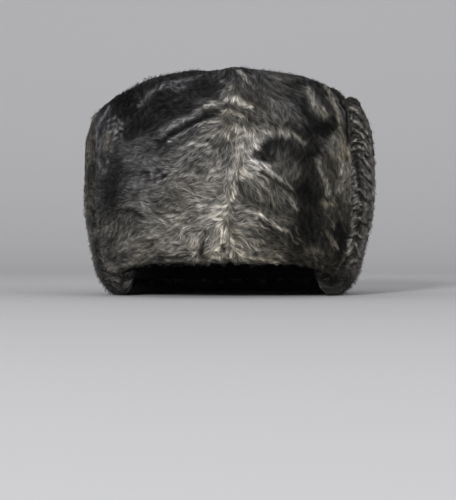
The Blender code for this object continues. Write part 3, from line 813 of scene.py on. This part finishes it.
def grown_locks(pelt, comb, heading, keep, ripples):
    """Walks each lock over the pelt, from a random root, along its heading."""
    places, normals = pelt.sampled(int(LOCK_SAMPLES * pelt.areas.sum() / comb.spacing ** 2))
    kept = np.flatnonzero(keep(places, normals))
    kept = kept[thinned(places[kept], comb.spacing)]
    places, normals = places[kept], normals[kept]
    count = len(places)
    length = comb.length * rng.uniform(*LENGTH_RANGE, count)
    runs = ripples.nearby(places)
    bend = add_noise(rng.normal(0.0, BEND_WANDER, count), places, BEND)
    path, path_normals, ways = [places], [normals], []
    for step in range(STEPS):
        wiggle = comb.wiggle * np.sin(ripples.phase(places[:, None], runs)[:, 0])
        way = heading_ways(places, normals, heading(places, normals) + bend * step + wiggle)
        ways.append(way)
        places, normals = pelt.nearest(places + way * (length / STEPS)[:, None])
        path.append(places)
        path_normals.append(normals)
    ways.append(ways[-1])
    downward = np.maximum(0.0, -path_normals[0][:, 2])
    height = comb.lift * rng.uniform(*HEIGHT_RANGE, count) * (1.0 + HANG * downward)
    height = np.maximum(height + extra_lift(path[0]), LEAST_HEIGHT)
    return Locks(*(np.stack(rows, axis=1) for rows in (path, path_normals, ways)), height, runs)


def drawn_strands(shape):
    """How each strand of each lock differs from the middle of its lock."""
    across = rng.uniform(-1.0, 1.0, shape)
    along = rng.uniform(-1.0, 1.0, shape)
    loose = rng.uniform(*LOOSE_RANGE, shape)
    loose += rng.uniform(*STRAY_RANGE, shape) * (rng.random(shape) < STRAY_SHARE)
    frizz = rng.normal(0.0, FRIZZ, (*shape, STEPS + 1, 3))
    return Strands(across, along, loose, frizz, rng.uniform(-TWIST, TWIST, shape))


def laid_flat(step, locks, strands, comb):
    """The ways up, along and aside of each strand at a step, and its place on the pelt."""
    up, way = locks.normals[:, None, step], locks.ways[:, None, step]
    way = unit(way - up * np.sum(way * up, axis=-1, keepdims=True))
    side = np.cross(way, up)
    spread = comb.spread * (1.0 - GATHER * step / STEPS)
    places = locks.path[:, None, step] + side * (strands.across * spread)[..., None]
    return Lie(up, way, side, places + way * (strands.along * spread)[..., None])


def raised(step, lie, locks, strands, comb, ripples):
    """Place, side way, shading normal and crest of each strand at a step, up off the pelt."""
    share = step / STEPS
    arc = math.pi * (LIFT_START + LIFT_SPAN * share)
    rounded = (1.0 - LOCK_ROUNDNESS * strands.across ** 2) * strands.loose
    lift = locks.height[:, None] * rounded * math.sin(arc)
    phase = ripples.phase(lie.places, locks.runs)
    crest = np.abs(np.cos(0.5 * phase))
    lift = lift + comb.high * crest * (ROOT_CREST + (1.0 - ROOT_CREST) * share)
    places = lie.places + lie.up * lift[..., None] + strands.frizz[:, :, step] * share
    places[..., 2] = np.maximum(places[..., 2], FLOOR_CLEAR)
    twist = strands.twist[..., None]
    sides = lie.side * np.cos(twist) + lie.up * np.sin(twist)
    slope = locks.height[:, None] / comb.length * math.pi * LIFT_SPAN * math.cos(arc)
    dip = comb.high / comb.ripple * math.pi * np.sin(0.5 * phase) * np.sign(np.cos(0.5 * phase))
    shade = lie.up + lie.side * (SHADE_ROUND * strands.across)[..., None]
    shade = shade - lie.way * (SHADE_SLOPE * slope - dip)[..., None]
    shade = unit(shade + SHADE_WANDER * rng.normal(size=shade.shape))
    return places, sides, shade, crest


def strand_rows(locks, comb, per_lock, ripples):
    """Places, side ways, shading normals and crests of all strands, and each one's streak."""
    strands = drawn_strands((len(locks.path), per_lock))
    lies = [laid_flat(step, locks, strands, comb) for step in range(STEPS + 1)]
    trail = trail_tone(lies[1].places, lies[1].way)
    steps = [raised(step, lie, locks, strands, comb, ripples) for step, lie in enumerate(lies)]
    joined = [np.stack(rows, axis=2) for rows in zip(*steps)]
    return *(rows.reshape(-1, *rows.shape[2:]) for rows in joined), trail.reshape(-1)


def strand_colours(lines, crests, trail, comb, tone_rule):
    """Strand colours at each step: painted highlight on crests, painted shade in troughs and at
    roots.
    """
    tone, warmth = tone_rule(0.5 * (lines + lines[:, 1:2]))
    contrast = 1.0 + TRAIL_CONTRAST * trail + rng.normal(0.0, STRAND_CONTRAST, len(lines))
    strength = comb.shade * add_noise(SHADE_START, lines[:, 1], SHADE_CLOUDS)
    painted_crest_shading = 1.0 + strength[:, None] * (crests - CREST_MEAN)
    return fur_colour(tone * (contrast[:, None] * np.array(ROOT_SHADE_TO_TIP) * painted_crest_shading), warmth)


def for_ribbons(rows):
    """What a ribbon's five points take from its strand's three steps."""
    return np.concatenate([np.repeat(rows[:, :STEPS], 2, axis=1), rows[:, STEPS:]], axis=1)


def ribbon_mesh(name, places):
    """A mesh of ribbons, each a face with four corners and then one that ends in a point."""
    count, points = places.shape[:2]
    corners = np.arange(count)[:, None] * points + np.array(RIBBON_CORNERS)
    sizes = np.tile(RIBBON_SIDES, count)
    mesh = bpy.data.meshes.new(name)
    mesh.vertices.add(count * points)
    mesh.vertices.foreach_set("co", places.reshape(-1).astype(np.float32))
    mesh.loops.add(corners.size)
    mesh.loops.foreach_set("vertex_index", corners.reshape(-1).astype(np.int32))
    mesh.polygons.add(len(sizes))
    mesh.polygons.foreach_set("loop_start", (np.cumsum(sizes) - sizes).astype(np.int32))
    mesh.update(calc_edges=True)
    mesh.shade_smooth()
    return mesh


def paint(mesh, colours):
    """Gives each point of a mesh a colour that its material reads."""
    attribute = mesh.color_attributes.new("fur_colour", "FLOAT_COLOR", "POINT")
    attribute.data.foreach_set("color", colours.reshape(-1).astype(np.float32))


def add_ribbon_map(mesh, count):
    """Gives each ribbon a square of its own on the map that looks are baked to."""
    across = math.ceil(math.sqrt(count))
    squares = np.stack([np.arange(count) % across, np.arange(count) // across], axis=1)
    inside = np.array(RIBBON_ON_MAP)[list(RIBBON_CORNERS)]
    places = (squares[:, None] + inside) / across
    layer = mesh.uv_layers.new(name="OFBake")
    layer.data.foreach_set("uv", places.reshape(-1).astype(np.float32))


def fur_mesh(name, locks, comb, tone_rule, ripples):
    """Joins a comb's strands, flat ribbons that end in a point, into one mesh."""
    per_lock = math.ceil(comb.strands / len(locks.path))
    grown = strand_rows(locks, comb, per_lock, ripples)
    picked = np.sort(rng.choice(len(grown[0]), comb.strands, replace=False))
    lines, sides, shades, crests, trail = (rows[picked] for rows in grown)
    count = len(lines)
    widths = comb.width * np.array(TAPER)[:, None] * rng.uniform(*WIDTH_RANGE, (count, 1, 1))
    reach = sides[:, :STEPS] * widths
    pairs = np.stack([lines[:, :STEPS] - reach, lines[:, :STEPS] + reach], axis=2)
    pairs = pairs.reshape(count, 2 * STEPS, 3)
    mesh = ribbon_mesh(name, np.concatenate([pairs, lines[:, STEPS:]], axis=1))
    paint(mesh, for_ribbons(strand_colours(lines, crests, trail, comb, tone_rule)))
    add_ribbon_map(mesh, count)
    normals = for_ribbons(shades).reshape(-1, 3)
    mesh.normals_split_custom_set_from_vertices(normals.tolist())
    return mesh


def new_material(name):
    material = bpy.data.materials.new(name)
    material.use_nodes = True
    nodes, links = material.node_tree.nodes, material.node_tree.links
    return material, nodes, links, nodes["Principled BSDF"]


def add_node(nodes, kind, **inputs):
    node = nodes.new(kind)
    for socket, value in inputs.items():
        node.inputs[socket.replace("_", " ")].default_value = value
    return node


def add_texture(nodes, links, kind, **inputs):
    """A procedural texture that lies on the object's own places."""
    texture = add_node(nodes, kind, **inputs)
    place = nodes.new("ShaderNodeTexCoord")
    links.new(place.outputs["Object"], texture.inputs["Vector"])
    return texture


def add_relief(nodes, links, texture, shader, rough, bump):
    """Lets a texture vary a material's roughness, and raise it in bumps."""
    span = add_node(nodes, "ShaderNodeMapRange", To_Min=rough[0], To_Max=rough[1])
    links.new(texture.outputs["Fac"], span.inputs["Value"])
    links.new(span.outputs["Result"], shader.inputs["Roughness"])
    relief = add_node(nodes, "ShaderNodeBump", Strength=bump[0], Distance=bump[1])
    links.new(texture.outputs["Fac"], relief.inputs["Height"])
    links.new(relief.outputs["Normal"], shader.inputs["Normal"])


def painted_material(name, light, rough, bump, **grain_inputs):
    """The painted fur colour, with a fine grain in its light, roughness and height."""
    material, nodes, links, shader = new_material(name)
    shader.inputs["Specular IOR Level"].default_value = 0.12
    colour = nodes.new("ShaderNodeAttribute")
    colour.attribute_name = "fur_colour"
    grain = add_texture(nodes, links, "ShaderNodeTexNoise", **grain_inputs)
    gain = add_node(nodes, "ShaderNodeMapRange", To_Min=light[0], To_Max=light[1])
    links.new(grain.outputs["Fac"], gain.inputs["Value"])
    scaled = nodes.new("ShaderNodeVectorMath")
    scaled.operation = "SCALE"
    links.new(colour.outputs["Color"], scaled.inputs[0])
    links.new(gain.outputs["Result"], scaled.inputs["Scale"])
    links.new(scaled.outputs["Vector"], shader.inputs["Base Color"])
    add_relief(nodes, links, grain, shader, rough, bump)
    return material


def fur_material(name):
    """Strands: their own colour, broken up finely, with a soft shine that varies along them."""
    material = painted_material(
        name, light=(0.72, 1.28), rough=(0.42, 0.62), bump=(0.2, 0.0001), Scale=900.0, Detail=2.0)
    shader = material.node_tree.nodes["Principled BSDF"]
    shader.inputs["Sheen Weight"].default_value = 0.02
    shader.inputs["Sheen Roughness"].default_value = 0.45
    return material


def skin_material(name):
    """Skin under the fur: a dark, finely pitted version of the fur's own colour."""
    return painted_material(
        name, light=(0.35, 1.3), rough=(0.70, 0.90), bump=(0.6, 0.0006),
        Scale=1400.0, Detail=4.0, Roughness=0.6)


def lining_material():
    """The plain inside of the hat: dark cloth with a fine twill."""
    material, nodes, links, shader = new_material("lining_cloth")
    shader.inputs["Sheen Weight"].default_value = 0.2
    twill = add_texture(
        nodes, links, "ShaderNodeTexWave", Scale=420.0, Distortion=0.6, Detail=1.0)
    twill.bands_direction = "DIAGONAL"
    tint = nodes.new("ShaderNodeValToRGB")
    tint.color_ramp.elements[0].color = (0.010, 0.010, 0.012, 1.0)
    tint.color_ramp.elements[1].color = (0.022, 0.022, 0.026, 1.0)
    links.new(twill.outputs["Fac"], tint.inputs["Fac"])
    links.new(tint.outputs["Color"], shader.inputs["Base Color"])
    add_relief(nodes, links, twill, shader, rough=(0.78, 0.92), bump=(0.35, 0.0003))
    return material


def paper_material():
    """The studio's floor and backdrop: plain matt paper."""
    material, nodes, links, shader = new_material("studio_paper")
    shader.inputs["Base Color"].default_value = STUDIO_GREY
    fibres = add_texture(nodes, links, "ShaderNodeTexNoise", Scale=300.0, Detail=2.0)
    add_relief(nodes, links, fibres, shader, rough=(0.85, 0.95), bump=(0.1, 0.0002))
    return material


def outer_fur(places, normals):
    """A flap grows fur on its outer side, its top edge and the turn of its fold."""
    radial = unit(places * np.array([1.0, 1.0, 0.0]))
    facing = np.sum(radial * normals, axis=1)
    return (facing > FLAP_FACING) | (normals[:, 2] > FLAP_TOP_FACING)


def crown_outside(places, normals):
    """Places on the outside of the crown's dome, not on its inside or lower edge."""
    out = unit((places - np.array(CROWN_MIDDLE)) * np.array(CROWN_SQUASH))
    return np.sum(out * normals, axis=1) > CROWN_FACING


def shows_on_crown(places, normals):
    """Places on the crown's outside that no flap covers."""
    shows = crown_outside(places, normals) & (places[:, 2] > CROWN_FUR_LOW)
    for i in np.flatnonzero(shows):
        start = Vector(places[i] + COVER_START * normals[i])
        for flap in ("front_flap", "ear_and_neck_flap"):
            if PELTS[flap].tree.ray_cast(start, Vector(normals[i]), COVER_REACH)[0]:
                shows[i] = False
                break
    return shows


def half_of_front(sign):
    """A rule that keeps the front flap's fur on one side of its middle."""

    def keep(places, normals):
        return outer_fur(places, normals) & (places[:, 0] * sign >= 0.0)

    return keep


def part_of_ear_flap(low, high):
    """A rule that keeps the ear and neck flap's fur between two angles in degrees."""

    def keep(places, normals):
        turn = degrees_round(places) % 360.0
        return outer_fur(places, normals) & (turn >= low) & (turn < high)

    return keep


PELTS = {node: Pelt(node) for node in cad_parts}

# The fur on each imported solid: the name of its looks, how it grows and is coloured, which places
# are skin and not lining, and the parts that it is made in
Fur = namedtuple("Fur", "node look comb heading tone is_skin parts")
FURS = (
    Fur("front_flap", "front_flap", FRONT_COMB, front_heading, front_tone, outer_fur,
        {"right": half_of_front(-1), "left": half_of_front(1)}),
    Fur("ear_and_neck_flap", "ear_flap", EAR_COMB, ear_heading, ear_tone, outer_fur,
        {"left": part_of_ear_flap(0, 130), "neck": part_of_ear_flap(130, 230),
         "right": part_of_ear_flap(230, 360)}),
    Fur("crown", "crown", CROWN_COMB, crown_heading, crown_tone, crown_outside,
        {"top": shows_on_crown}),
)


def placed(name, data):
    """Adds a mesh, a lamp or a camera to the scene."""
    thing = bpy.data.objects.new(name, data)
    bpy.context.scene.collection.objects.link(thing)
    return thing


def shown(name, mesh, materials):
    """Adds a mesh to the scene as a piece of the hat."""
    piece = placed(name, mesh)
    for material in materials:
        mesh.materials.append(material)
    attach(piece, "root")
    return piece


def add_pelt(fur, lining):
    """The soft body under the fur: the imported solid, rounded, with its fur's colour."""
    node = fur.node
    pelt = PELTS[node]
    mesh = bpy.data.meshes.new(node + "_pelt")
    mesh.from_pydata(pelt.places.tolist(), [], pelt.triangles.tolist())
    skin = skin_material(fur.look + "_pelt_skin")
    piece = shown(node + "_pelt", mesh, [skin, lining])
    rounding = piece.modifiers.new("rounding", "SUBSURF")
    rounding.levels = 1
    rounding.render_levels = 1
    bpy.context.view_layer.objects.active = piece
    bpy.ops.object.modifier_apply(modifier=rounding.name)
    tone, warmth = fur.tone(rows_of(mesh.vertices, "co"))
    paint(mesh, fur_colour(SKIN_TONE * tone, warmth))
    is_skin = fur.is_skin(rows_of(mesh.polygons, "center"), rows_of(mesh.polygons, "normal"))
    mesh.polygons.foreach_set("material_index", (~is_skin).astype(np.int32))
    mesh.shade_smooth()
    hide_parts(node)
    return piece


def add_fur(fur, part, keep, ripples, hair):
    """Grows one part of a pelt's fur, as one piece."""
    name = fur.look + "_fur_" + part
    locks = grown_locks(PELTS[fur.node], fur.comb, fur.heading, keep, ripples)
    mesh = fur_mesh(name, locks, fur.comb, fur.tone, ripples)
    shown(name, mesh, [hair])


def make_hat():
    lining = lining_material()
    pelts = [add_pelt(fur, lining) for fur in FURS]

    ripples = [Ripples(PELTS[fur.node], fur.heading, fur.comb.ripple) for fur in FURS]
    for fur, fur_ripples in zip(FURS, ripples):
        hair = fur_material(fur.look + "_hair")
        for part, keep in fur.parts.items():
            add_fur(fur, part, keep, fur_ripples, hair)


def add_studio():
    """A pale floor that sweeps up into a backdrop, in one piece."""
    profile = [(FLOOR_NEAR, 0.0)]
    for step in range(SWEEP_STEPS + 1):
        turn = 0.5 * math.pi * step / SWEEP_STEPS
        back = FLOOR_BACK + SWEEP_RADIUS * math.sin(turn)
        profile.append((back, SWEEP_RADIUS * (1.0 - math.cos(turn))))
    profile.append((FLOOR_BACK + SWEEP_RADIUS, SWEEP_TOP))
    places = [(side * SWEEP_HALF_WIDTH, y, z) for y, z in profile for side in (-1, 1)]
    faces = [(2 * k, 2 * k + 1, 2 * k + 3, 2 * k + 2) for k in range(len(profile) - 1)]
    mesh = bpy.data.meshes.new("studio_floor")
    mesh.from_pydata(places, [], faces)
    mesh.shade_smooth()
    mesh.materials.append(paper_material())
    floor = placed("studio_floor", mesh)


def add_lights():
    for lamp in LAMPS:
        light = bpy.data.lights.new(lamp.name, "AREA")
        light.size = lamp.size
        light.energy = lamp.watts
        thing = placed(lamp.name, light)
        thing.location = lamp.place
        thing.visible_camera = False
        towards = Vector(LAMP_AIM) - Vector(lamp.place)
        thing.rotation_euler = towards.to_track_quat("-Z", "Y").to_euler()
    world = bpy.data.worlds.new("studio_world")
    world.use_nodes = True
    background = world.node_tree.nodes["Background"]
    background.inputs["Color"].default_value = (1.0, 1.0, 1.0, 1.0)
    background.inputs["Strength"].default_value = SKY_LIGHT
    bpy.context.scene.world = world


def add_camera():
    data = bpy.data.cameras.new("camera")
    data.sensor_width = SENSOR_MM
    data.lens = FOCAL_PIXELS * SENSOR_MM / PICTURE_HEIGHT
    camera = placed("camera", data)
    eye = Vector((EYE_DISTANCE * EYE_SINE, -EYE_DISTANCE * EYE_COSINE, EYE_HEIGHT))
    camera.location = eye + EYE_ASIDE * Vector((EYE_COSINE, EYE_SINE, 0.0))
    camera.rotation_euler = (math.radians(90.0), 0.0, EYE_AZIMUTH)
    bpy.context.scene.camera = camera
    bpy.context.scene.view_settings.view_transform = "Standard"


add_camera()
add_lights()
add_studio()
make_hat()
